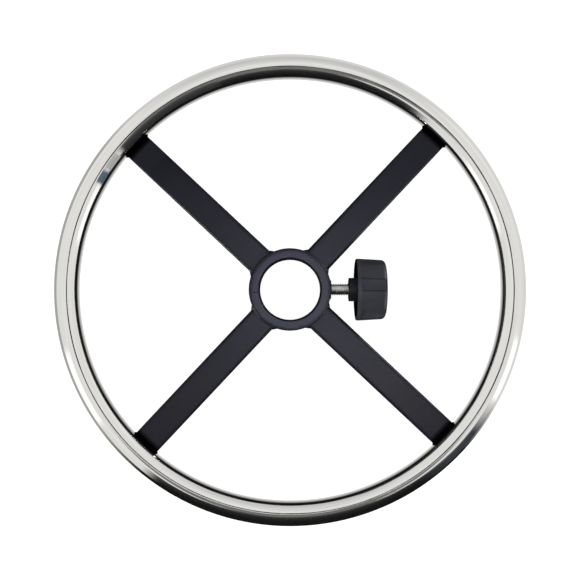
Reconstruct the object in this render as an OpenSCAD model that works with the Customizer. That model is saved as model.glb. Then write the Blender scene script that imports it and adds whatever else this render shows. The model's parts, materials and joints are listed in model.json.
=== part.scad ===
// Foot ring for the round column of a tall chair: a polished tube rim, four flat tube
// spokes, a lined collar that slides on the column, and a side clamp screw with a knob.
// The rim lies in the plane z = 0, the column runs along Z and the clamp screw along +X.

/* [Rim] */
// Outer diameter of the rim
rim_d = 400; // [380:5:450]
// Outer diameter of the rim's tube
rim_tube_d = 21.3; // [20:0.1:24]
// Wall of the rim's tube
rim_wall = 1.5; // [1:0.1:2.5]

/* [Spokes] */
// Width of a spoke in the rim's plane
spoke_w = 24; // [20:0.5:25]
// Thickness of a spoke along the column
spoke_t = 12; // [10:0.5:14]
// Wall of the spoke's tube
spoke_wall = 1.5; // [1:0.1:2]
// Radius of the spoke's long edges
spoke_edge_r = 2.5; // [2.1:0.1:3]
// Direction of the first spoke, anticlockwise from the clamp screw
spoke_start = 46.8; // [45:0.2:48]
// Length of the end that is pressed down where it meets the rim
nose_len = 7; // [5:0.5:9]
// Thickness of the pressed lip that is welded to the rim
nose_t = 3; // [2:0.5:4]

/* [Hub] */
// Diameter of the bore that slides on the column
bore_d = 52.4; // [51:0.1:53]
// Wall of the liner bush between the column and the collar
liner_wall = 3.75; // [3:0.05:4]
// Outer diameter of the liner's flange
flange_d = 63.4; // [62:0.1:65]
// Thickness of the liner's flange
flange_t = 1.8; // [1.2:0.1:2.4]
// Width of the split along the liner
split_w = 0.5; // [0.4:0.1:2]
// Direction of the split, anticlockwise from the clamp screw
split_angle = 185; // [150:1:210]
// Outer diameter of the steel collar
collar_d = 68; // [67:0.5:72]
// Length of the hub along the column, flange included
hub_len = 48; // [46:1:56]
// Radius of the collar's outer edges
collar_edge_r = 1; // [0.5:0.1:1.5]
// Size of a weld bead's leg at the hub, beside the spoke
hub_leg = 3.6; // [2.5:0.1:4]
// Size of a weld bead's leg at the hub, above and below the spoke
hub_top_leg = 1; // [0.6:0.1:1.5]
// Size of a weld bead's leg at the rim
rim_leg = 1.8; // [1.2:0.1:3]

/* [Clamp screw] */
// Height of the screw's axis above the rim's plane
screw_z = 3; // [3:0.5:5]
// Thread diameter of the stud
stud_d = 10; // [9:0.5:10]
// Diameter of the threaded bush in the collar's wall
bush_d = 16; // [14:0.5:17]
// Diameter of the pressure pad on the stud's tip
pad_d = 11; // [9:0.5:11.5]
// Diameter of the pilot that holds the pad on the stud
pilot_d = 6; // [4:0.5:6.5]
// Distance across the flats of the stud's hexagonal head
hex_af = 16; // [14:0.5:16]
// Height of the stud's head
hex_h = 6.4; // [5:0.1:7]

/* [Knob] */
// Distance from the column's axis to the face of the knob's boss
boss_x = 49.5; // [47:0.5:52]
// Diameter of the knob's boss
boss_d = 19.8; // [19.6:0.1:22]
// Distance from the boss's face to the knob's back rim
rim_set_back = 6; // [4:0.1:8]
// Largest diameter of the knob
knob_d = 52.2; // [50:0.1:54]
// Depth of the knob from its back rim to the corner of its front
knob_depth = 24.7; // [23:0.1:28]
// How far the middle of the front stands proud of its corner
dome_h = 1.5; // [1:0.1:3]
// Width of the plain band behind the flutes
band_w = 3; // [2:0.1:6]
// Radius of the rounded front corner
knob_corner_r = 4; // [3:0.5:5]
// Number of flutes round the knob
flutes = 6; // [4:1:8]
// Radius of a flute's arc
flute_r = 20.4; // [16:0.1:26]
// Depth of a flute at the knob's largest diameter
flute_depth = 1.3; // [0.8:0.1:1.6]
// Direction of the first flute about the screw's axis
flute_angle = 51; // [0:1:59]

/* [Hidden] */
$fn = 96;
rim_fn = 360;
over = 1;
rim_tube_r = rim_tube_d / 2;
rim_mid_r = rim_d / 2 - rim_tube_r;
rim_in_r = rim_mid_r - rim_tube_r;
collar_r = collar_d / 2;
bore_r = bore_d / 2;
liner_r = bore_r + liner_wall;
liner_gap = 0.05;
liner_chamfer = 0.6;
collar_in_r = liner_r + liner_gap;
hub_top = hub_len / 2;
collar_top = hub_top - flange_t;

stud_r = stud_d / 2;
run_gap = 0.05;
bush_r = bush_d / 2;
bush_proud = 0.6;
bush_in_x = collar_in_r - 0.4;
bush_out_x = collar_r + bush_proud;
pad_r = pad_d / 2;
pad_gap = 0.5;
pad_face_r = bore_r + 0.2;
pad_back_x = bush_in_x - 1;
pilot_r = pilot_d / 2;
pilot_len = 1.3;
thrust_gap = 0.1;
stud_x = pad_back_x + thrust_gap;
stud_chamfer = 0.8;
hex_x = boss_x + 16.5;
hex_r = hex_af / 2 / cos(30);

knob_r = knob_d / 2;
knob_back_x = boss_x + rim_set_back;
knob_corner_x = knob_back_x + knob_depth;
knob_wall = 2.8;
knob_floor_t = 5;
knob_draft = 1;
floor_x = knob_corner_x - knob_floor_t;
front_r = knob_r - knob_draft;
draft_angle = atan(knob_draft / (knob_depth - band_w - knob_corner_r));
rib_t = 1.8;
rib_set_back = 2.5;
knob_edge = 0.5;
boss_draft = 0.5;
// turn of the knob's surface seam, which keeps it clear of the ribs and flutes
seam_turn = 7;

// rounded rectangle centred on the origin, with true arcs at its corners
module round_rect(w, h, r) {
    square([w - 2 * r, h], center = true);
    square([w, h - 2 * r], center = true);
    for (x = [-1, 1], y = [-1, 1])
        translate([x * (w / 2 - r), y * (h / 2 - r)]) circle(r);
}

// solid of the rim's tube without its hollow
module rim_solid(r = rim_tube_r) {
    rotate_extrude($fn = rim_fn) translate([rim_mid_r, 0]) circle(r);
}

// puts a shape that was made along Z onto the clamp screw's axis, with Z turned to +X
module on_screw() {
    translate([0, 0, screw_z]) rotate([0, 90, 0]) children();
}

// repeats a shape in the direction of each of the four spokes
module at_spokes() {
    for (i = [0:3]) rotate([0, 0, spoke_start + 90 * i]) children();
}

// side view of a spoke along +X: straight, then pressed down to a lip at the rim
module spoke_side(half) {
    lip = nose_t / 2;
    start = rim_in_r - nose_len;
    top = [for (i = [0:6]) let (t = i / 6)
        [start + nose_len * t, lip + (half - lip) * pow(1 - t, 1.5)]];
    upper = concat([[0, half]], top, [[rim_mid_r, lip]]);
    lower = [for (i = [len(upper) - 1:-1:0]) [upper[i][0], -upper[i][1]]];
    polygon(concat(upper, lower));
}

// outer shape of a spoke along +X, from the hub's axis to the rim's middle
module spoke_blank() {
    intersection() {
        rotate([90, 0, 90]) linear_extrude(rim_mid_r) round_rect(spoke_w, spoke_t, spoke_edge_r);
        rotate([90, 0, 0]) linear_extrude(spoke_w + 2 * over, center = true)
            spoke_side(spoke_t / 2);
    }
}

module spoke(i) {
    color("#232428")
    rotate([0, 0, spoke_start + 90 * i])
    difference() {
        spoke_blank();
        rim_solid();
        cylinder(h = 2 * spoke_t, r = collar_r, center = true);
        rotate([90, 0, 90]) linear_extrude(rim_in_r - nose_len)
            round_rect(spoke_w - 2 * spoke_wall, spoke_t - 2 * spoke_wall,
                spoke_edge_r - spoke_wall);
    }
}

module rim_tube() {
    color("#d9dadb")
    difference() {
        rim_solid();
        rim_solid(rim_tube_r - rim_wall);
    }
}

module spoke_1() { spoke(0); }

module spoke_2() { spoke(1); }

module spoke_3() { spoke(2); }

module spoke_4() { spoke(3); }

module hub_collar() {
    collar_len = collar_top + hub_top;
    wall = collar_r - collar_in_r;
    color("#26272b")
    difference() {
        translate([0, 0, (collar_top - hub_top) / 2]) rotate_extrude() union() {
            translate([collar_in_r + wall / 2, 0]) round_rect(wall, collar_len, collar_edge_r);
            translate([collar_in_r, -collar_len / 2]) square([wall / 2, collar_len]);
        }
        on_screw() cylinder(h = collar_d, r = bush_r);
    }
}

module liner_bush() {
    c = liner_chamfer;
    color("#2c2d31")
    difference() {
        rotate_extrude() polygon([
            [bore_r, c - hub_top], [bore_r + c, -hub_top], [liner_r, -hub_top],
            [liner_r, collar_top], [flange_d / 2, collar_top], [flange_d / 2, hub_top - c],
            [flange_d / 2 - c, hub_top], [bore_r + c, hub_top], [bore_r, hub_top - c]]);
        rotate([0, 0, split_angle]) translate([0, -split_w / 2, -hub_len])
            cube([collar_d, split_w, 2 * hub_len]);
        on_screw() cylinder(h = collar_d, r = pad_r + pad_gap);
        on_screw() translate([0, 0, bush_in_x - 0.1]) cylinder(h = collar_d, r = bush_r + 0.2);
    }
}

// one bead all round each spoke: narrow above and below it, and wider down its sides
module hub_welds() {
    w = spoke_w / 2 + 0.2;
    h = spoke_t / 2 + 0.2;
    x0 = collar_r * cos(30);
    x1 = collar_r + hub_leg;
    wide = w + x1 - x0 - hub_leg + 0.6;
    high = h + hub_top_leg + over;
    color("#232428")
    at_spokes() difference() {
        union() {
            intersection() {
                rotate(180) rotate_extrude() polygon([
                    [collar_r - over, high], [collar_r + hub_top_leg, h],
                    [collar_r + hub_top_leg, -h], [collar_r - over, -high]]);
                translate([0, -w, -hub_len / 2]) cube([collar_d, 2 * w, hub_len]);
            }
            linear_extrude(spoke_t - 1, center = true)
                polygon([[x0, wide], [x1, w], [x1, -w], [x0, -wide]]);
        }
        cylinder(h = hub_len, r = collar_r, center = true);
        spoke_blank();
    }
}

// a bead down each side of each spoke's pressed lip
module rim_welds() {
    w = spoke_w / 2;
    color("#232428")
    at_spokes() for (side = [0, 1]) mirror([0, side, 0]) difference() {
        linear_extrude(2 * nose_t, center = true) polygon([[rim_in_r - rim_leg, w],
            [rim_in_r + rim_leg / 2, w], [rim_in_r + rim_leg / 2, w + rim_leg]]);
        rim_solid();
    }
}

module weld_bush() {
    color("#9a9ca0")
    on_screw() difference() {
        translate([0, 0, bush_in_x]) cylinder(h = bush_out_x - bush_in_x, r = bush_r);
        cylinder(h = collar_d, r = stud_r + run_gap);
    }
}

module thrust_pad() {
    color("#b8a070")
    difference() {
        on_screw() translate([0, 0, bore_r - 3]) cylinder(h = pad_back_x - bore_r + 3, r = pad_r);
        cylinder(h = hub_len, r = pad_face_r, center = true);
        on_screw() translate([0, 0, stud_x - pilot_len - 0.1])
            cylinder(h = pilot_len + over, r = pilot_r + run_gap);
    }
}

// the stud's own shape along Z, before it is turned onto the screw's axis
module stud_shape() {
    translate([0, 0, stud_x - pilot_len]) cylinder(h = pilot_len + over, r = pilot_r);
    rotate_extrude() polygon([[0, stud_x], [stud_r - stud_chamfer, stud_x],
        [stud_r, stud_x + stud_chamfer], [stud_r, hex_x + over], [0, hex_x + over]]);
    translate([0, 0, hex_x]) rotate(30) cylinder(h = hex_h, r = hex_r, $fn = 6);
}

module clamp_stud() {
    color("#b9bbb4")
    on_screw() stud_shape();
}

// half section of the knob: radius, and distance along the screw's axis
module knob_section() {
    corner_c = [front_r - knob_corner_r, knob_corner_x - knob_corner_r];
    corner = [for (a = [0:15:90]) corner_c + knob_corner_r * [cos(a), sin(a)]];
    dome = [for (i = [1:5]) let (t = 1 - i / 5)
        [corner_c[0] * t, knob_corner_x + dome_h * (1 - t * t)]];
    wall_in = knob_r - knob_wall;
    polygon(concat(
        [[0, boss_x], [boss_d / 2 - knob_edge, boss_x], [boss_d / 2, boss_x + knob_edge],
            [boss_d / 2 + boss_draft, floor_x], [wall_in - knob_draft, floor_x],
            [wall_in, knob_back_x], [knob_r - knob_edge, knob_back_x],
            [knob_r, knob_back_x + knob_edge], [knob_r, knob_back_x + band_w]],
        corner, dome));
}

module knob_body() {
    flute_c = knob_r - flute_depth + flute_r;
    color("#2a2b2f")
    on_screw() difference() {
        union() {
            rotate(seam_turn) rotate_extrude() knob_section();
            for (i = [0:flutes - 1]) rotate(i * 360 / flutes)
                translate([boss_d / 2 - over, -rib_t / 2, knob_back_x + rib_set_back])
                    cube([knob_r - knob_wall - boss_d / 2 + 1.5 * over, rib_t,
                        floor_x - knob_back_x - rib_set_back + over]);
        }
        for (i = [0:flutes - 1]) rotate(flute_angle + i * 360 / flutes)
            translate([flute_c, 0, knob_back_x + band_w]) rotate([0, -draft_angle, 0])
                rotate(180) cylinder(h = knob_depth, r = flute_r);
        stud_shape();
    }
}

rim_tube();
spoke_1();
spoke_2();
spoke_3();
spoke_4();
hub_collar();
liner_bush();
hub_welds();
rim_welds();
weld_bush();
thrust_pad();
clamp_stud();
knob_body();
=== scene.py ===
import json
import math

import bmesh
import bpy
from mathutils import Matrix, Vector, noise

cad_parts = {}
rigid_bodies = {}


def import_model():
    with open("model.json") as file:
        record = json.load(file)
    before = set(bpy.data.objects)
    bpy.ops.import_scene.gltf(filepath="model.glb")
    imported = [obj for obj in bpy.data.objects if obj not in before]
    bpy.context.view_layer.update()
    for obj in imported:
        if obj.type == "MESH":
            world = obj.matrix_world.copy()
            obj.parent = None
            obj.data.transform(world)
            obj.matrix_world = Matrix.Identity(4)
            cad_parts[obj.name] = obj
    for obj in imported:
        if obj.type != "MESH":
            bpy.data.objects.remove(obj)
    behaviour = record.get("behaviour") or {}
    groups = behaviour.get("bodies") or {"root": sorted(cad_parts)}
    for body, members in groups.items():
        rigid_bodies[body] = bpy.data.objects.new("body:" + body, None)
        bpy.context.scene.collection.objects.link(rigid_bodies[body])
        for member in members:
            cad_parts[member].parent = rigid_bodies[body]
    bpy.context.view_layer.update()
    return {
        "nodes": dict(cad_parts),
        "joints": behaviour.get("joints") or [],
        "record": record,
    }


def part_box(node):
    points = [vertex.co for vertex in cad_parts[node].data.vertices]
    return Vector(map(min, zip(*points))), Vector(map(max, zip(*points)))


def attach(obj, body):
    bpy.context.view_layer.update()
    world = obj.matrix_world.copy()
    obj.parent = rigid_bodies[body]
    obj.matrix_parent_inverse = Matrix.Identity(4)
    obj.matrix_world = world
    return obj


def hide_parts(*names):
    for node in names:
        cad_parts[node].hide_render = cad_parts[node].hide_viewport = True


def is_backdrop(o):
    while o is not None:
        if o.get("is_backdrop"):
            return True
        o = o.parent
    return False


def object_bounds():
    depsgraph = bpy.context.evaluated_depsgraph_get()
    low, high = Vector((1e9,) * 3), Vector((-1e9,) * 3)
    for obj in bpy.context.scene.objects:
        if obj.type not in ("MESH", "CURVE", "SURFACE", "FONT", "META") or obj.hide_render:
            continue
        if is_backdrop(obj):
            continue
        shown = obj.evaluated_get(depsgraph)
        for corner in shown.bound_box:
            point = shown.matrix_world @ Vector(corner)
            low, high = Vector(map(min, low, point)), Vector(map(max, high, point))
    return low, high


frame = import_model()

MM = 0.001


# ---------------------------------------------------------------- sizes, from the frame

def mount(name):
    """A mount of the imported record."""
    return next(m for m in frame["record"]["mounts"] if m["name"] == name)


def joint(name):
    """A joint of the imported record."""
    return next(j for j in frame["joints"] if j["name"] == name)


_, rim_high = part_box("rim_tube")
collar_low, collar_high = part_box("hub_collar")
_, liner_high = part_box("liner_bush")
spoke_low, spoke_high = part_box("spoke_1")
stud_low, stud_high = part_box("clamp_stud")
knob_low, knob_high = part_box("knob_body")

# rim: outer radius, radius of the tube, and radius of the circle that the tube follows
RIM_OUT = rim_high.x
TUBE_R = round(rim_high.z, 4) + 0.05 * MM
RIM_MID = RIM_OUT - TUBE_R

# spokes: cross-section, pressed nose and direction of the first one
SPOKE_HALF_W = 12 * MM
SPOKE_HALF_T = spoke_high.z
SPOKE_EDGE_R = 2.5 * MM
NOSE_LEN = 7 * MM
NOSE_HALF_T = 1.5 * MM
spoke_centre = (spoke_low + spoke_high) / 2
SPOKE_START = math.atan2(spoke_centre.y, spoke_centre.x)

# hub: collar, liner, and the round holes through them for the clamp screw
COLLAR_R = collar_high.x
COLLAR_IN_R = 30 * MM
COLLAR_EDGE_R = 1 * MM
HUB_LOW = collar_low.z
COLLAR_TOP = collar_high.z
HUB_TOP = liner_high.z
BORE_R = mount("column_bore")["dims"]["r_mm"] * MM
LINER_R = 29.95 * MM
FLANGE_R = 31.7 * MM
SPLIT_W = 0.5 * MM
SPLIT_ANGLE = math.radians(185)
BUSH_HOLE_R = 8 * MM
BUSH_RELIEF_R = 8.2 * MM
BUSH_RELIEF_X = 29.5 * MM
PAD_HOLE_R = 6 * MM

# clamp screw: an M10 thread of 1.5 mm pitch, whose axis runs along +X
SCREW_Z = joint("knob_turn")["pos_m"][2]
THREAD_R = 5 * MM
THREAD_DEPTH = 0.9 * MM
PITCH = round(2 * math.pi * frame["record"]["behaviour"]["couplings"][0]["ratio"], 7)
PILOT_R = 3 * MM
STUD_X = stud_low.x + 1.3 * MM
HEX_X = stud_high.x - 6.4 * MM
HEX_HALF_AF = 8 * MM

# knob
BOSS_X = knob_low.x
BOSS_R = 9.9 * MM
KNOB_R = (knob_high.y - knob_low.y) / 2
KNOB_BACK_X = BOSS_X + 6 * MM
DOME_X = knob_high.x
CORNER_X = DOME_X - 1.5 * MM
CORNER_R = 4 * MM
KNOB_WALL = 2.8 * MM
KNOB_DRAFT = 1 * MM
KNOB_FLOOR_X = CORNER_X - 5 * MM
BAND_W = 3 * MM
RIBS = 6
RIB_HALF_T = 0.9 * MM
RIB_SET_BACK = 2.5 * MM
FLUTES = 6
FLUTE_R = 20.4 * MM
FLUTE_DEPTH = 1.3 * MM
FLUTE_ANGLE = math.radians(51)


# ---------------------------------------------------------------- mesh tools

def smooth_noise(x, y, z):
    """A repeatable smooth value from about -1 to 1 at a point."""
    return noise.noise(Vector((x, y, z)))


def piece(name, verts, faces, material, body, node, sharp=35):
    """Makes a mesh from its points and faces, and hands it to the frame in place of a CAD node."""
    obj = solid(name, verts, faces)
    obj.data.materials.append(material)
    finish_mesh(obj, sharp)
    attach(obj, body)
    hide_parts(node)
    return obj


def finish_mesh(obj, sharp):
    """Smooth shading, with the edges sharper than an angle left crisp."""
    obj.data.shade_smooth()
    obj.data.set_sharp_from_angle(angle=math.radians(sharp))


def skin(rings, loop_closed=False, first=0):
    """Quads between neighbouring rings of points; each ring is closed and has the same number of points."""
    n = len(rings[0])
    pairs = [(i, i + 1) for i in range(len(rings) - 1)]
    if loop_closed:
        pairs.append((len(rings) - 1, 0))
    return [[first + a * n + k, first + a * n + (k + 1) % n, first + b * n + (k + 1) % n, first + b * n + k]
            for a, b in pairs for k in range(n)]


def zip_cap(n, first):
    """Quads that close a ring of points that mirrors itself about the line through point 0."""
    return [[first + k, first + k + 1, first + n - k - 1, first + (n - k) % n] for k in range(n // 2)]


def flat(rings):
    """All the points of some rings, in one list."""
    return [p for ring in rings for p in ring]


def arc(cx, cy, r, start, end, steps):
    """Points of an arc, with its angles in degrees."""
    angles = [math.radians(start + (end - start) * i / steps) for i in range(steps + 1)]
    return [(cx + r * math.cos(a), cy + r * math.sin(a)) for a in angles]


def solid(name, verts, faces):
    """A closed mesh object with its points merged and its normals outwards."""
    mesh = bpy.data.meshes.new(name)
    mesh.from_pydata(verts, [], faces)
    work = bmesh.new()
    work.from_mesh(mesh)
    bmesh.ops.remove_doubles(work, verts=work.verts, dist=1e-7)
    bmesh.ops.recalc_face_normals(work, faces=work.faces)
    work.to_mesh(mesh)
    work.free()
    obj = bpy.data.objects.new(name, mesh)
    bpy.context.scene.collection.objects.link(obj)
    return obj


def combine(obj, others, operation):
    """Joins closed shapes to a mesh, or cuts them out of it, and removes them."""
    for other in others:
        modifier = obj.modifiers.new("combine", "BOOLEAN")
        modifier.object = other
        modifier.operation = operation
        modifier.solver = "EXACT"
    graph = bpy.context.evaluated_depsgraph_get()
    mesh = bpy.data.meshes.new_from_object(obj.evaluated_get(graph))
    obj.modifiers.clear()
    obj.data = mesh
    for other in others:
        bpy.data.objects.remove(other)


def rod(name, r, x0, x1, segments=96):
    """A plain round cutter along the clamp screw's axis."""
    turns = [2 * math.pi * k / segments for k in range(segments)]
    rings = [[(x, r * math.cos(a), SCREW_Z + r * math.sin(a)) for a in turns] for x in (x0, x1)]
    ends = [list(range(segments))[::-1], list(range(segments, 2 * segments))]
    return solid(name, flat(rings), skin(rings) + ends)


# ---------------------------------------------------------------- materials

class Graph:
    """Adds nodes to a node tree. node() returns the new node, and the other methods return an output."""

    def __init__(self, tree):
        self.tree = tree

    def node(self, kind, inputs=None, **settings):
        made = self.tree.nodes.new("ShaderNode" + kind)
        for key, value in settings.items():
            setattr(made, key, value)
        for key, value in (inputs or {}).items():
            if isinstance(value, bpy.types.NodeSocket):
                self.tree.links.new(value, made.inputs[key])
            else:
                made.inputs[key].default_value = value
        return made

    def math(self, operation, a, b=0.0):
        return self.node("Math", {0: a, 1: b}, operation=operation).outputs[0]

    def place(self):
        return self.node("TexCoord").outputs["Object"]

    def axes(self, vector):
        return self.node("SeparateXYZ", {0: vector}).outputs

    def length(self, a, b):
        """Distance from the origin of a point whose two coordinates are given."""
        squares = self.math("ADD", self.math("MULTIPLY", a, a), self.math("MULTIPLY", b, b))
        return self.math("SQRT", squares)

    def vector(self, x, y, z):
        return self.node("CombineXYZ", {0: x, 1: y, 2: z}).outputs[0]

    def noise(self, vector, scale, detail=2.0, **inputs):
        values = {"Vector": vector, "Scale": scale, "Detail": detail, **inputs}
        kind = "4D" if "W" in inputs else "3D"
        return self.node("TexNoise", values, noise_dimensions=kind).outputs[0]

    def span(self, value, from_low, from_high, to_low, to_high):
        inputs = {0: value, 1: from_low, 2: from_high, 3: to_low, 4: to_high}
        return self.node("MapRange", inputs).outputs[0]

    def ramp(self, value, stops):
        made = self.node("ValToRGB", {0: value})
        elements = made.color_ramp.elements
        while len(elements) < len(stops):
            elements.new(0.5)
        for element, (position, colour) in zip(elements, stops):
            element.position = position
            element.color = (*colour, 1)
        return made.outputs[0]

    def bump(self, height, distance, normal=None):
        inputs = {"Height": height, "Distance": distance, "Strength": 1.0}
        if normal:
            inputs["Normal"] = normal
        return self.node("Bump", inputs).outputs[0]


def material(name, **settings):
    """A new material, its graph and its shader, with constants set on the shader's own sockets."""
    mat = bpy.data.materials.new(name)
    mat.use_nodes = True
    shader = mat.node_tree.nodes["Principled BSDF"]
    for key, value in settings.items():
        shader.inputs[key.replace("_", " ")].default_value = value
    return mat, Graph(mat.node_tree), shader


def plug(graph, shader, **outputs):
    """Links outputs to the shader's sockets."""
    for key, value in outputs.items():
        graph.tree.links.new(value, shader.inputs[key.replace("_", " ")])


def polished_steel():
    """Stainless tube, polished round the ring, with fine lines left by the polishing belt."""
    mat, g, shader = material("polished_steel", Metallic=1.0, Anisotropic=0.35)
    x, y, z = g.axes(g.place())
    from_axis = g.length(x, y)

    def lines(across, along, detail):
        """Noise that is fine across the tube and long along it, with no seam round the ring."""
        stretched = g.vector(g.math("MULTIPLY", x, along), g.math("MULTIPLY", y, along),
                             g.math("MULTIPLY", from_axis, across))
        return g.noise(stretched, 1.0, detail, W=g.math("MULTIPLY", z, across))

    fine = lines(2600, 26, 3.0)
    broad = lines(420, 9, 2.0)
    smudges = g.noise(g.place(), 38, 3.0)
    lined = g.math("ADD", g.math("MULTIPLY", fine, 0.5), g.math("MULTIPLY", broad, 0.5))
    colour = g.ramp(lined, [(0.3, (0.655, 0.648, 0.628)), (0.7, (0.785, 0.777, 0.752))])
    rough = g.math("ADD", g.span(fine, 0.3, 0.7, 0.05, 0.11), g.span(smudges, 0.45, 0.7, 0.0, 0.05))
    normal = g.bump(fine, 0.000004)
    normal = g.bump(broad, 0.00005, normal=normal)
    plug(g, shader, Base_Color=colour, Roughness=rough, Normal=normal)
    return mat


def powder_coat():
    """Satin black powder coat: fine orange peel over a slow unevenness, with painted shade by the rim,
    where its colour and shine fade out.
    """
    mat, g, shader = material("black_powder_coat")
    place = g.place()
    x, y, _ = g.axes(place)
    reach = g.length(x, y)
    nose_x = RIM_MID - TUBE_R - NOSE_LEN
    # painted shade: colour and shine fall to a twentieth over the pressed noses next to the rim
    painted_rim_shade = g.span(reach, nose_x - 1 * MM, RIM_MID - TUBE_R - 2.5 * MM, 1.0, 0.05)
    shine = g.math("MULTIPLY", painted_rim_shade, 0.07)
    peel = g.noise(place, 1500, 2.0)
    waves = g.noise(place, 260, 2.0)
    patches = g.noise(place, 22, 3.0)
    colour = g.ramp(patches, [(0.3, (0.0034, 0.0035, 0.0052)), (0.7, (0.0046, 0.0047, 0.0068))])
    colour = g.node("VectorMath", {0: colour, 3: painted_rim_shade}, operation="SCALE").outputs[0]
    rough = g.math("ADD", g.span(patches, 0.3, 0.7, 0.33, 0.38), g.span(peel, 0.3, 0.7, -0.03, 0.03))
    normal = g.bump(peel, 0.00002)
    normal = g.bump(waves, 0.00003, normal=normal)
    plug(g, shader, Base_Color=colour, Roughness=rough, Normal=normal, Specular_IOR_Level=shine)
    return mat


def moulded_plastic(name, grain, base, shine, rough_low, rough_high, shade=None):
    """Black plastic from a spark-eroded mould, with a fine grain and faint flow marks."""
    mat, g, shader = material(name, Specular_IOR_Level=shine)
    place = g.place()
    fine = g.noise(place, grain, 3.0)
    flow = g.noise(place, 70, 2.0)
    colour = g.ramp(flow, [(0.3, tuple(0.85 * c for c in base)), (0.7, tuple(1.15 * c for c in base))])
    rough = g.math("ADD", g.span(fine, 0.3, 0.7, rough_low, rough_high), g.span(flow, 0.3, 0.7, 0.0, 0.05))
    normal = g.bump(fine, 0.000025)
    plug(g, shader, Base_Color=colour, Roughness=rough, Normal=normal)
    # painted shade, where given: a factor that scales the colour and the shine
    if shade:
        factor = shade(g)
        dimmed = g.node("VectorMath", {0: colour, 3: factor}, operation="SCALE").outputs[0]
        plug(g, shader, Base_Color=dimmed, Specular_IOR_Level=g.math("MULTIPLY", factor, shine))
    return mat


def painted_cup_shade(g):
    """Painted shade for the knob: 1 on its outside, a quarter lighter on its plain band, darker on its
    boss, and darkest in its hollow inside.
    """
    x, y, z = g.axes(g.place())
    reach = g.length(y, g.math("SUBTRACT", z, SCREW_Z))
    wall_in = g.span(x, KNOB_BACK_X, KNOB_FLOOR_X, KNOB_R - KNOB_WALL, KNOB_R - KNOB_WALL - KNOB_DRAFT)
    # painted shade in the hollow: colour and shine dimmed inside the cup, less on the boss than between it
    # and the wall
    in_wall = g.math("LESS_THAN", reach, g.math("ADD", wall_in, 0.35 * MM))
    behind = g.math("LESS_THAN", x, KNOB_FLOOR_X + 0.5 * MM)
    off_boss = g.math("GREATER_THAN", reach, BOSS_R + 0.15 * MM)
    dimming = g.math("MULTIPLY", g.math("MULTIPLY", in_wall, behind), g.span(off_boss, 0, 1, 0.35, 0.9))
    on_band = g.math("MULTIPLY", g.math("LESS_THAN", x, KNOB_BACK_X + BAND_W - 0.1 * MM),
                     g.math("GREATER_THAN", reach, KNOB_R - 1 * MM))
    return g.math("SUBTRACT", g.math("ADD", 1.0, g.math("MULTIPLY", on_band, 0.25)), dimming)


def zinc_plate():
    """Bright zinc plate with a faint yellow-green passivation."""
    mat, g, shader = material("zinc_steel", Metallic=1.0)
    place = g.place()
    clouds = g.noise(place, 160, 3.0)
    grain = g.noise(place, 2400, 2.0)
    colour = g.ramp(clouds, [(0.3, (0.60, 0.62, 0.57)), (0.7, (0.72, 0.74, 0.70))])
    rough = g.math("ADD", g.span(clouds, 0.3, 0.7, 0.2, 0.28), g.span(grain, 0.3, 0.7, 0.0, 0.06))
    plug(g, shader, Base_Color=colour, Roughness=rough, Normal=g.bump(grain, 0.00001))
    return mat


def turned_brass():
    """Brass with the rings that a lathe tool leaves about the screw's axis."""
    mat, g, shader = material("brass", Metallic=1.0)
    x, y, z = g.axes(g.place())
    reach = g.length(y, g.math("SUBTRACT", z, SCREW_Z))
    rings = g.noise(g.vector(g.math("MULTIPLY", reach, 9000), g.math("MULTIPLY", x, 9000), 0.0), 1.0, 2.0)
    tarnish = g.noise(g.place(), 300, 3.0)
    colour = g.ramp(tarnish, [(0.3, (0.55, 0.41, 0.20)), (0.7, (0.72, 0.58, 0.32))])
    rough = g.math("ADD", g.span(rings, 0.3, 0.7, 0.22, 0.34), g.span(tarnish, 0.3, 0.7, 0.08, 0.0))
    plug(g, shader, Base_Color=colour, Roughness=rough, Normal=g.bump(rings, 0.00001))
    return mat


STEEL = polished_steel()
COAT = powder_coat()
LINER = moulded_plastic("liner_plastic", 1400, (0.0155, 0.016, 0.0215), 0.07, 0.36, 0.44)
KNOB = moulded_plastic("knob_plastic", 1900, (0.0118, 0.0121, 0.0141), 0.07, 0.40, 0.50, painted_cup_shade)
ZINC = zinc_plate()
BRASS = turned_brass()


# ---------------------------------------------------------------- rim

def rim(around=512, across=64):
    """The bent and welded tube, as a smooth ring."""
    rings = []
    for i in range(around):
        turn = 2 * math.pi * i / around
        tilt = [2 * math.pi * k / across for k in range(across)]
        rings.append([((RIM_MID + TUBE_R * math.cos(a)) * math.cos(turn),
                       (RIM_MID + TUBE_R * math.cos(a)) * math.sin(turn),
                       TUBE_R * math.sin(a)) for a in tilt])
    piece("rim", flat(rings), skin(rings, loop_closed=True), STEEL, "frame", "rim_tube")


# ---------------------------------------------------------------- spokes

def to_rim(y, z):
    """Distance from the column's axis, along a spoke, at which a line at (y, z) enters the rim's tube."""
    return math.sqrt((RIM_MID - math.sqrt(TUBE_R ** 2 - z ** 2)) ** 2 - y ** 2)


def to_collar(y):
    """Distance from the column's axis, along a spoke, at which a line at y leaves the collar."""
    return math.sqrt(COLLAR_R ** 2 - y ** 2)


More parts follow.
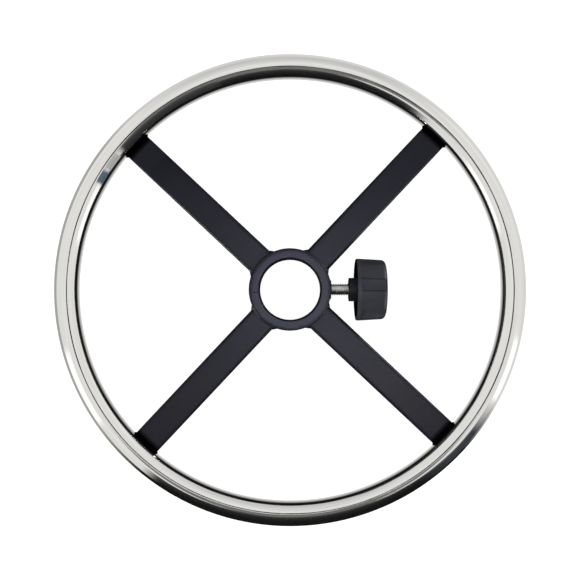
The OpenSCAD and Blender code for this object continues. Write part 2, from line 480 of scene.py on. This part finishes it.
def section(half_w, half_t, r, corner=6, wide=10, tall=4):
    """Rounded rectangle round a spoke, from the middle of its +Y side, as (y, z, normal y, normal z)."""
    points = []

    def side(start, end, normal, steps):
        for i in range(steps):
            t = i / steps
            points.append((start[0] + (end[0] - start[0]) * t, start[1] + (end[1] - start[1]) * t, *normal))

    def bend(cy, cz, start):
        for i in range(corner):
            a = math.radians(start + 90 * i / corner)
            points.append((cy + r * math.cos(a), cz + r * math.sin(a), math.cos(a), math.sin(a)))

    y, z = half_w - r, half_t - r
    side((half_w, 0), (half_w, z), (1, 0), tall // 2)
    bend(y, z, 0)
    side((y, half_t), (-y, half_t), (0, 1), wide)
    bend(-y, z, 90)
    side((-half_w, z), (-half_w, -z), (-1, 0), tall)
    bend(-y, -z, 180)
    side((-y, -half_t), (y, -half_t), (0, -1), wide)
    bend(y, -z, 270)
    side((half_w, -z), (half_w, 0), (1, 0), tall // 2)
    return points


def on_spoke(index, point):
    """Turns a point that was made on a spoke along +X to where that spoke is."""
    turn = SPOKE_START + index * math.pi / 2
    x, y, z = point
    return (x * math.cos(turn) - y * math.sin(turn), x * math.sin(turn) + y * math.cos(turn), z)


def spoke(index, straight=14, pressed=14, sunk=0.2 * MM):
    """A flat oval tube, coped to the collar at one end and pressed to a lip at the rim."""
    nose_x = RIM_MID - TUBE_R - NOSE_LEN
    rings = []
    for i in range(straight):
        ring = section(SPOKE_HALF_W, SPOKE_HALF_T, SPOKE_EDGE_R)
        rings.append([(to_collar(y) - sunk + (nose_x - to_collar(y) + sunk) * i / straight, y, z)
                      for y, z, _, _ in ring])
    for i in range(pressed + 1):
        t = i / pressed
        half_t = NOSE_HALF_T + (SPOKE_HALF_T - NOSE_HALF_T) * (1 - t) ** 1.5
        ring = section(SPOKE_HALF_W, half_t, min(SPOKE_EDGE_R, 0.98 * half_t))
        rings.append([(nose_x + (to_rim(y, z) + sunk - nose_x) * t, y, z) for y, z, _, _ in ring])
    n = len(rings[0])
    faces = skin(rings) + zip_cap(n, 0) + zip_cap(n, n * (len(rings) - 1))
    points = [on_spoke(index, p) for p in flat(rings)]
    piece(f"spoke_arm_{index + 1}", points, faces, COAT, "frame", f"spoke_{index + 1}")


# ---------------------------------------------------------------- weld beads

def bead_section(corner, on_spoke_side, on_tube_side, bulge, ripple, steps=8):
    """Ring of points across a fillet bead: its face from one leg to the other, then its hidden corner."""
    middle = (on_spoke_side + on_tube_side) / 2
    out = middle - corner
    control = middle + out * bulge
    lift = out.normalized()
    face = []
    for i in range(steps + 1):
        t = i / steps
        p = on_spoke_side * (1 - t) ** 2 + control * 2 * t * (1 - t) + on_tube_side * t ** 2
        face.append(p + lift * ripple * math.sin(math.pi * t))
    hidden = corner - out * 0.15
    return face + [on_tube_side * 0.5 + hidden * 0.5, hidden, on_spoke_side * 0.5 + hidden * 0.5]


def hub_bead(index, top_leg=1.0 * MM, side_leg=3.4 * MM, ripple_pitch=1.9 * MM, steps_each=6):
    """A bead all round a spoke at the collar, wider at its sides, with the ripples of the weld pool."""
    outline = section(SPOKE_HALF_W, SPOKE_HALF_T, SPOKE_EDGE_R, corner=8, wide=16, tall=8)
    lengths = [0.0]
    for a, b in zip(outline, outline[1:] + outline[:1]):
        lengths.append(lengths[-1] + math.hypot(b[0] - a[0], b[1] - a[1]))
    ripples = round(lengths[-1] / ripple_pitch)
    count = ripples * steps_each
    rings = []
    at = 0
    for i in range(count):
        s = lengths[-1] * i / count
        while lengths[at + 1] <= s:
            at += 1
        t = (s - lengths[at]) / (lengths[at + 1] - lengths[at])
        a, b = outline[at], outline[(at + 1) % len(outline)]
        y, z, ny, nz = (a[k] + (b[k] - a[k]) * t for k in range(4))
        leg = top_leg + (side_leg - top_leg) * ny ** 4
        wander = 1 + 0.08 * smooth_noise(s * 140, index * 7.3, 0)
        size = leg * wander * (1 - 0.02 * math.cos(2 * math.pi * i / steps_each))
        corner = Vector((to_collar(y), y, z))
        leg_x = Vector((to_collar(y) + size, y, z))
        foot_y = y + size * ny
        leg_out = Vector((to_collar(foot_y), foot_y, z + size * nz))
        ripple = 0.03 * size * math.cos(2 * math.pi * i / steps_each)
        rings.append(bead_section(corner, leg_x, leg_out, 0.18, ripple))
    return [[on_spoke(index, p) for p in ring] for ring in rings]


def rim_bead(index, side, leg=1.3 * MM, half_len=3.0 * MM, steps=24):
    """A short bead down one side of a spoke's pressed lip where it meets the rim."""
    rings = []
    for i in range(steps + 1):
        t = 2 * i / steps - 1
        z = half_len * math.sin(t * math.pi / 2)
        fade = max(0.12, math.sqrt(max(0.0, 1 - (z / half_len) ** 2)))
        size = leg * fade * (1 + 0.06 * smooth_noise(z * 900, index * 3.1, side * 2.0))
        y = side * SPOKE_HALF_W
        foot_y = y + side * size
        corner = Vector((to_rim(y, z), y, z))
        leg_x = Vector((to_rim(y, z) - size, y, z))
        leg_out = Vector((to_rim(foot_y, z), foot_y, z))
        ripple = 0.07 * MM * fade * math.cos(t * math.pi * 3)
        rings.append(bead_section(corner, leg_x, leg_out, 0.15, ripple))
    return [[on_spoke(index, p) for p in ring] for ring in rings]


def hub_welds():
    """The beads at the collar, one round each spoke."""
    points, faces = [], []
    for index in range(4):
        rings = hub_bead(index)
        faces += skin(rings, loop_closed=True, first=len(points))
        points += flat(rings)
    piece("hub_weld_beads", points, faces, COAT, "frame", "hub_welds", sharp=50)


def rim_welds():
    """The beads at the rim, one down each side of each spoke."""
    points, faces = [], []
    for index in range(4):
        for side in (1, -1):
            rings = rim_bead(index, side)
            n = len(rings[0])
            first = len(points)
            faces += skin(rings, first=first)
            faces.append(list(range(first, first + n)))
            faces.append(list(range(first + n * (len(rings) - 1), first + n * len(rings))))
            points += flat(rings)
    piece("rim_weld_beads", points, faces, COAT, "frame", "rim_welds", sharp=50)


# ---------------------------------------------------------------- hub

def collar(segments=256):
    """The steel collar, with rounded outer edges and a hole for the threaded bush."""
    e, out = COLLAR_EDGE_R, COLLAR_R - COLLAR_EDGE_R
    profile = [(COLLAR_IN_R, HUB_LOW)]
    profile += arc(out, HUB_LOW + e, e, -90, 0, 6)
    profile += arc(out, COLLAR_TOP - e, e, 0, 90, 6)
    profile += [(COLLAR_IN_R, COLLAR_TOP)]
    rings = []
    for i in range(segments):
        turn = 2 * math.pi * i / segments
        rings.append([(r * math.cos(turn), r * math.sin(turn), z) for r, z in profile])
    obj = piece("collar", flat(rings), skin(rings, loop_closed=True), COAT, "frame", "hub_collar")
    combine(obj, [rod("bush_hole", BUSH_HOLE_R, 0, 2 * COLLAR_R)], "DIFFERENCE")
    finish_mesh(obj, 35)


def liner(segments=256):
    """The split plastic liner: a flange on top, broken edges, and a hole for the pressure pad."""
    chamfer = 0.6 * MM
    edge = 0.5 * MM
    profile = [(BORE_R, HUB_LOW + chamfer), (BORE_R + chamfer, HUB_LOW), (LINER_R - edge, HUB_LOW),
               (LINER_R, HUB_LOW + edge), (LINER_R, COLLAR_TOP), (FLANGE_R, COLLAR_TOP)]
    profile += arc(FLANGE_R - edge, HUB_TOP - edge, edge, 0, 90, 5)
    profile += arc(BORE_R + chamfer, HUB_TOP - chamfer, chamfer, 90, 180, 5)

    def turn(r, t):
        """Keeps the split's two faces parallel, whatever the radius."""
        half = math.asin(SPLIT_W / 2 / r)
        return SPLIT_ANGLE + half + (2 * math.pi - 2 * half) * t

    rings = [[(r * math.cos(turn(r, i / segments)), r * math.sin(turn(r, i / segments)), z)
              for r, z in profile] for i in range(segments + 1)]
    n = len(profile)
    ends = [list(range(n)), list(range(n * segments, n * (segments + 1)))]
    obj = piece("liner", flat(rings), skin(rings) + ends, LINER, "frame", "liner_bush")
    holes = [rod("pad_hole", PAD_HOLE_R, 0, 2 * COLLAR_R),
             rod("bush_relief", BUSH_RELIEF_R, BUSH_RELIEF_X, 2 * COLLAR_R)]
    combine(obj, holes, "DIFFERENCE")
    finish_mesh(obj, 35)


# ---------------------------------------------------------------- clamp screw and knob

def about_screw(r, turn, x):
    """A point at a radius and angle about the clamp screw's axis. Angle 0 points down, 90 degrees to +Y."""
    return (x, r * math.sin(turn), SCREW_Z - r * math.cos(turn))


def stud(columns=72):
    """The clamp screw: plain pilot, rolled thread with a chamfered start, and a hexagonal head."""
    chamfer = 0.8 * MM
    root = THREAD_R - THREAD_DEPTH
    thread_end = BOSS_X + 4 * MM
    core = root - 0.1 * MM
    tooth = [(0.0, 1.0), (0.125, 1.0), (0.22, 0.66), (0.33, 0.27), (0.43, 0.04), (0.5, 0.0), (0.62, 0.0),
             (0.70, 0.04), (0.80, 0.27), (0.905, 0.66)]

    def envelope(x):
        """The most that the thread may stand out here: less at its chamfered start."""
        return min(THREAD_R, core + (x - STUD_X) * (THREAD_R - core) / chamfer)

    def row(radius, x):
        return [about_screw(radius, 2 * math.pi * k / columns, x) for k in range(columns)]

    rings = [row(PILOT_R - 0.4 * MM, stud_low.x), row(PILOT_R, stud_low.x + 0.4 * MM), row(PILOT_R, STUD_X),
             row(core, STUD_X)]
    plain_rows = len(rings)
    turns = math.ceil((thread_end - STUD_X) / PITCH) + 1
    for j in range(-1, turns):
        for offset, height in tooth:
            ring = []
            for k in range(columns):
                x = STUD_X + PITCH * (j + k / columns + offset)
                inside = min(max(x, STUD_X), thread_end)
                radius = min(root + THREAD_DEPTH * height, envelope(inside))
                if inside != x:
                    radius = core
                ring.append(about_screw(radius, 2 * math.pi * k / columns, inside))
            rings.append(ring)
    thread_rows = len(rings) - plain_rows
    shank = THREAD_R - 0.02 * MM
    rings += [row(core, thread_end), row(shank, thread_end), row(shank, HEX_X)]
    edge = 0.3 * MM
    for x, inset in ((HEX_X, edge), (HEX_X + edge, 0), (stud_high.x - edge, 0), (stud_high.x, edge)):
        ring = []
        for k in range(columns):
            turn = 2 * math.pi * k / columns
            off_flat = (turn + math.pi / 6) % (math.pi / 3) - math.pi / 6
            ring.append(about_screw((HEX_HALF_AF - inset) / math.cos(off_flat), turn, x))
        rings.append(ring)
    faces = []
    for a in range(len(rings) - 1):
        helical = plain_rows <= a < plain_rows + thread_rows - 1
        for k in range(columns):
            nxt = (k + 1) % columns
            shift = len(tooth) if helical and nxt == 0 else 0
            low = a + shift
            if shift and low + 1 >= plain_rows + thread_rows:
                continue
            faces.append([a * columns + k, low * columns + nxt,
                          (low + 1) * columns + nxt, (a + 1) * columns + k])
    faces.append(list(range(columns)))
    faces.append(list(range(columns * (len(rings) - 1), columns * len(rings))))
    piece("threaded_stud", flat(rings), faces, ZINC, "knob", "clamp_stud", sharp=40)


def knob_radius(base, x, turn, step_in=0.3 * MM, step_run=0.25 * MM, line_in=0.8 * MM, line_half=0.2 * MM):
    """Radius of the knob's outside, where the flutes cut into it and a fine line sets off their edges."""
    centre = KNOB_R - FLUTE_DEPTH + FLUTE_R
    taper = KNOB_DRAFT / (CORNER_X - KNOB_BACK_X - BAND_W - CORNER_R)
    centre -= taper * (x - KNOB_BACK_X - BAND_W)
    step = 2 * math.pi / FLUTES
    off = (turn - FLUTE_ANGLE + step / 2) % step - step / 2
    reach = FLUTE_R ** 2 - (centre * math.sin(off)) ** 2
    if reach <= 0:
        return base
    depth = base - (centre * math.cos(off) - math.sqrt(reach))
    line = line_in * math.exp(-((depth - 0.08 * MM) / line_half) ** 2)
    if depth <= 0:
        return base - line
    t = min(depth / step_run, 1)
    return base - depth - line - step_in * t * t * (3 - 2 * t)


def knob_ribs():
    """The ribs between the knob's boss and its wall, as closed boxes that reach a little into both."""
    boxes = []
    low, high = BOSS_R - 1 * MM, KNOB_R - KNOB_WALL + 0.5 * MM
    corners = ((low, -RIB_HALF_T), (high, -RIB_HALF_T), (high, RIB_HALF_T), (low, RIB_HALF_T))
    for i in range(RIBS):
        turn = 2 * math.pi * i / RIBS
        verts = []
        for x in (KNOB_BACK_X + RIB_SET_BACK, KNOB_FLOOR_X + 1 * MM):
            for reach, side in corners:
                verts.append((x, reach * math.sin(turn) + side * math.cos(turn),
                              SCREW_Z - reach * math.cos(turn) + side * math.sin(turn)))
        faces = [[0, 1, 2, 3], [7, 6, 5, 4], [0, 4, 5, 1], [1, 5, 6, 2], [2, 6, 7, 3], [3, 7, 4, 0]]
        boxes.append(solid(f"rib_{i}", verts, faces))
    return boxes


def knob(columns=720):
    """The moulded knob: a cup with a boss, a plain band, six flutes and a slightly domed front."""
    edge = 0.5 * MM
    front_r = KNOB_R - KNOB_DRAFT
    wall_in = KNOB_R - KNOB_WALL
    inner = [(THREAD_R, HEX_X), (THREAD_R, BOSS_X + edge), (THREAD_R + edge, BOSS_X)]
    inner += [(r, x) for x, r in arc(BOSS_X + edge, BOSS_R - edge, edge, 180, 90, 4)]
    inner += [(BOSS_R + edge, KNOB_FLOOR_X), (wall_in - KNOB_DRAFT, KNOB_FLOOR_X),
              (wall_in, KNOB_BACK_X + edge), (wall_in + 0.3 * MM, KNOB_BACK_X)]
    inner += [(r, x) for x, r in arc(KNOB_BACK_X + edge, KNOB_R - edge, edge, 180, 90, 4)]
    band_end = KNOB_BACK_X + BAND_W
    wall_end = CORNER_X - CORNER_R
    inner += [(KNOB_R, band_end - 0.05 * MM)]
    outer = [(KNOB_R - KNOB_DRAFT * t, band_end + (wall_end - band_end) * t) for t in
             (0, 0.01, 0.06, 0.15, 0.3, 0.45, 0.6, 0.75, 0.9)]
    outer += arc(front_r - CORNER_R, wall_end, CORNER_R, 0, 90, 18)
    dome = []
    for i in range(1, 8):
        t = 1 - i / 8
        dome.append(((front_r - CORNER_R) * t, CORNER_X + (DOME_X - CORNER_X) * (1 - t * t)))
    pocket_r = HEX_HALF_AF / math.cos(math.pi / 6) + 0.05 * MM
    pocket = [(pocket_r, stud_high.x), (pocket_r, HEX_X)]
    turns = [2 * math.pi * k / columns for k in range(columns)]
    rings = [[about_screw(r, a, x) for a in turns] for r, x in pocket + inner]
    for r, x in outer:
        rings.append([about_screw(knob_radius(r, x, a), a, x) for a in turns])
    rings += [[about_screw(r, a, x) for a in turns] for r, x in dome]
    points = flat(rings) + [about_screw(0, 0, stud_high.x), about_screw(0, 0, DOME_X)]
    last = columns * (len(rings) - 1)
    back, front = len(points) - 2, len(points) - 1
    faces = skin(rings)
    faces += [[back, (k + 1) % columns, k] for k in range(columns)]
    faces += [[front, last + k, last + (k + 1) % columns] for k in range(columns)]
    obj = piece("knob_shell", points, faces, KNOB, "knob", "knob_body", sharp=30)
    combine(obj, knob_ribs(), "UNION")
    finish_mesh(obj, 25)


rim()
for number in range(4):
    spoke(number)
hub_welds()
rim_welds()
collar()
liner()
stud()
knob()
for name, finish in (("weld_bush", COAT), ("thrust_pad", BRASS)):
    frame["nodes"][name].data.materials[0] = finish


# ---------------------------------------------------------------- studio

def bare_material(name):
    """A new material with no nodes in it yet, and its graph."""
    mat = bpy.data.materials.new(name)
    mat.use_nodes = True
    mat.node_tree.nodes.clear()
    g = Graph(mat.node_tree)
    return mat, g


def stage_mesh(name, verts, faces, mat, reflections_only):
    """A part of the studio, which isn't part of the object."""
    mesh = bpy.data.meshes.new(name)
    mesh.from_pydata(verts, [], faces)
    mesh.materials.append(mat)
    obj = bpy.data.objects.new(name, mesh)
    bpy.context.scene.collection.objects.link(obj)
    obj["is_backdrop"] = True
    if reflections_only:
        obj.visible_camera = False
        obj.visible_diffuse = False
        obj.visible_shadow = False
    return obj


def disc(name, r, z, mat, reflections_only=True, x=0.0, y=0.0, segments=96):
    """A flat round card."""
    verts = [(x + r * math.cos(2 * math.pi * k / segments), y + r * math.sin(2 * math.pi * k / segments), z)
             for k in range(segments)]
    stage_mesh(name, verts, [list(range(segments))], mat, reflections_only)


def floor():
    """A plain white floor that also glows, as lit opal plastic does, with a painted shadow under the hub's
    wall, where it is dark.
    """
    mat, g = bare_material("white_floor")
    x, y, _ = g.axes(g.place())
    reach = g.length(x, y)
    # painted shadow: under the hub's wall the floor neither glows nor takes much light
    painted_shadow_under_wall = g.math("LESS_THAN", g.math("ABSOLUTE", g.math("SUBTRACT", reach, (BORE_R + COLLAR_R) / 2)),
                        (COLLAR_R - BORE_R) / 2)
    grey = g.span(painted_shadow_under_wall, 0, 1, 0.3, 0.02)
    soft = g.node("BsdfDiffuse", {"Color": g.vector(grey, grey, grey)})
    shine = g.node("Emission", {"Color": (1, 1, 1, 1), "Strength": g.span(painted_shadow_under_wall, 0, 1, 0.95, 0.02)})
    both = g.node("AddShader", {0: soft.outputs[0], 1: shine.outputs[0]})
    g.node("OutputMaterial", {0: both.outputs[0]})
    disc("floor", 6.0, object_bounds()[0].z - 0.0001, mat, reflections_only=False)


def card_material(name, heights, greys, soft_edge, narrowing, tint):
    """A card that glows in greys given at heights up it, fades at its sides and may narrow upwards."""
    mat, g = bare_material(name)
    u, v, _ = g.axes(g.node("TexCoord").outputs["UV"])
    colours = [(h, tuple(c * t for t in tint)) for h, c in zip(heights, greys)]
    shine = g.node("Emission", {"Color": g.ramp(v, colours)})
    side = g.math("MINIMUM", u, g.math("SUBTRACT", 1.0, u))
    side = g.math("SUBTRACT", side, g.span(v, 0.42, 0.52, 0.0, narrowing))
    cover = g.span(side, 0.0, soft_edge, 0.0, 1.0)
    clear = g.node("BsdfTransparent")
    mixed = g.node("MixShader", {0: cover, 1: clear.outputs[0], 2: shine.outputs[0]})
    g.node("OutputMaterial", {0: mixed.outputs[0]})
    return mat


def card(name, azimuth, half_angle, distance, bottom, top, heights, greys, soft_edge=0.1, narrowing=0.0,
         tint=(1, 1, 1.02)):
    """An upright curved card round the ring, seen only in reflections."""
    steps = 24
    verts, uvs = [], []
    for z, v in ((bottom, 0), (top, 1)):
        for i in range(steps + 1):
            a = math.radians(azimuth + half_angle * (2 * i / steps - 1))
            verts.append((distance * math.cos(a), distance * math.sin(a), z))
            uvs.append((i / steps, v))
    n = steps + 1
    faces = [[i, i + 1, n + i + 1, n + i] for i in range(steps)]
    mat = card_material(name, heights, greys, soft_edge, narrowing, tint)
    obj = stage_mesh(name, verts, faces, mat, True)
    layer = obj.data.uv_layers.new(name="UVMap")
    for loop in obj.data.loops:
        layer.data[loop.index].uv = uvs[loop.vertex_index]


def floor_in_steel():
    """What the rim shows of the floor: a painted shade in the middle, dark under the ring and light by its
    foot, and beyond the ring dark towards -Y, grey towards -X, else light.
    """
    mat, g = bare_material("floor_in_steel")
    x, y, _ = g.axes(g.place())
    round_turn = g.span(g.math("ARCTAN2", y, x), -math.pi, math.pi, 0.0, 1.0)
    stops = [(0.0, 0.5), (0.1, 0.5), (0.14, 0.01), (0.385, 0.01),
             (0.42, 0.9), (0.86, 0.85), (0.9, 0.5), (1.0, 0.5)]
    outside = g.ramp(round_turn, [(at, (c, c, c)) for at, c in stops])
    reach = g.length(x, y)
    # painted shade: the floor under the ring dark, lightening towards the rim
    inside = g.span(reach, 0.120, 0.172, 0.01, 0.95)
    far = g.math("GREATER_THAN", reach, RIM_MID)
    mixed = g.node("MixRGB", {0: far, 1: inside, 2: outside}).outputs[0]
    shine = g.node("Emission", {"Color": mixed})
    g.node("OutputMaterial", {0: shine.outputs[0]})
    disc("floor_in_steel", 5.9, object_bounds()[0].z + 0.0005, mat)


def dark_disc(name, r, x, y, z, grey):
    """A small dark round card."""
    mat, g = bare_material(name)
    shade = g.node("Emission", {"Color": (grey, grey, grey, 1)})
    g.node("OutputMaterial", {0: shade.outputs[0]})
    disc(name, r, z, mat, x=x, y=y)


def lamp(name, place, size, energy, colour, receivers):
    """A round soft lamp that shines towards the hub, on some of the objects only."""
    light = bpy.data.lights.new(name, "AREA")
    light.shape = "DISK"
    light.size = size
    light.energy = energy
    light.color = colour
    obj = bpy.data.objects.new(name, light)
    obj.location = place
    obj.rotation_euler = (-Vector(place)).to_track_quat("-Z", "Y").to_euler()
    obj.visible_camera = False
    bpy.context.scene.collection.objects.link(obj)
    obj.light_linking.receiver_collection = receivers


def studio():
    """White surroundings and floor, the cards that the steel shows, and lamps for the black parts."""
    scene = bpy.context.scene
    world = bpy.data.worlds.new("surroundings")
    scene.world = world
    world.use_nodes = True
    world.node_tree.nodes.clear()
    g = Graph(world.node_tree)
    seen = g.node("LightPath").outputs["Is Camera Ray"]
    lit = g.node("Background", {"Color": (1.0, 1.0, 1.0, 1), "Strength": 1.0})
    plain = g.node("Background", {"Color": (1, 1, 1, 1), "Strength": 1.1})
    mixed = g.node("MixShader", {0: seen, 1: lit.outputs[0], 2: plain.outputs[0]})
    g.node("OutputWorld", {0: mixed.outputs[0]})
    floor()
    floor_in_steel()
    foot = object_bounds()[0].z

    # the far walls: dark towards -Y, light behind, and a bright panel on each side
    card("dark_side", 273.5, 43.5, 0.8, foot, 2.4, (0.0, 0.25, 0.42, 0.6, 0.8, 1.0),
         (0.008, 0.022, 0.045, 0.09, 0.25, 0.5), soft_edge=0.05, narrowing=0.25)
    card("back_wall", 90, 45, 1.2, foot, 2.6, (0.0, 0.3, 1.0), (0.72, 0.8, 1.05), soft_edge=0.25)
    card("panel_left", 205, 11, 0.95, foot, 0.95, (0.0, 1.0), (1.45, 1.45))
    card("panel_right", 340, 9, 0.95, foot, 0.95, (0.0, 1.0), (1.45, 1.45))

    # small cards close to the rim, which only the stretch of tube beside them shows
    card("near_shade", 318, 14, 0.3, foot, 0.17, (0.0, 0.66, 0.85, 1.0), (0.06, 0.065, 0.15, 0.5),
         soft_edge=0.34, tint=(0.88, 0.98, 1.12))
    card("inner_shade", 124.5, 17, 0.155, 0.008, 0.085, (0.0, 0.45, 0.65, 0.91), (0.03, 0.06, 0.1, 0.18),
         soft_edge=0.06)
    card("grey_patch", 144.1, 2.6, 0.155, 0.008, 0.085, (0.0, 1.0), (0.5, 0.62))
    card("blue_patch", 148.9, 2.2, 0.155, 0.008, 0.08, (0.0, 1.0), (0.17, 0.22), soft_edge=0.15,
         tint=(0.62, 0.85, 1.15))

    # dark things overhead, which the tube's crest shows
    dark_disc("ceiling_shade", 0.125, 0.06, 0, 1.36, 0.02)
    dark_disc("leaning_shade", 0.25, 0, -0.46, 1.3, 0.2)
    dark_disc("high_shade", 0.56, 0, -0.72, 2.2, 0.22)

    # lamps that shine on the black parts only
    black_parts = bpy.data.collections.new("black_parts")
    for obj in scene.objects:
        if obj.type == "MESH" and any(m in (COAT, LINER, KNOB) for m in obj.data.materials):
            black_parts.objects.link(obj)
    lamp("overhead", (0.02, 0, 0.78), 0.24, 3.7, (0.7, 0.72, 1.0), black_parts)
    lamp("lower_left", (-0.163, -0.174, 0.69), 0.12, 0.4, (1.0, 0.95, 0.86), black_parts)
    lamp("lower_right", (0.155, -0.145, 0.69), 0.12, 1.05, (1.0, 0.97, 0.92), black_parts)
    lamp("low_left", (-0.5, -0.3, 0.1), 0.2, 5.0, (1, 1, 1), black_parts)
    lamp("low_right", (0.5, -0.3, 0.1), 0.2, 4.0, (1, 1, 1), black_parts)
    lamp("low_rear", (0.48, 0.32, 0.1), 0.2, 4.5, (1, 1, 1), black_parts)
    scene.view_settings.view_transform = "Standard"


def camera(place=Vector((0.001, -0.005, 0.69)), aim=Vector((0, -0.0003, 0))):
    """High above the ring and a few millimetres off the column's axis, with +Y up the picture."""
    data = bpy.data.cameras.new("camera")
    data.sensor_width = 36
    data.lens = 50.46
    data.clip_start = 0.01
    obj = bpy.data.objects.new("camera", data)
    obj.location = place
    sight = (aim - place).normalized()
    obj.rotation_euler = (math.asin(sight.y), math.atan2(-sight.x, -sight.z), 0)
    bpy.context.scene.collection.objects.link(obj)
    bpy.context.scene.camera = obj


studio()
camera()
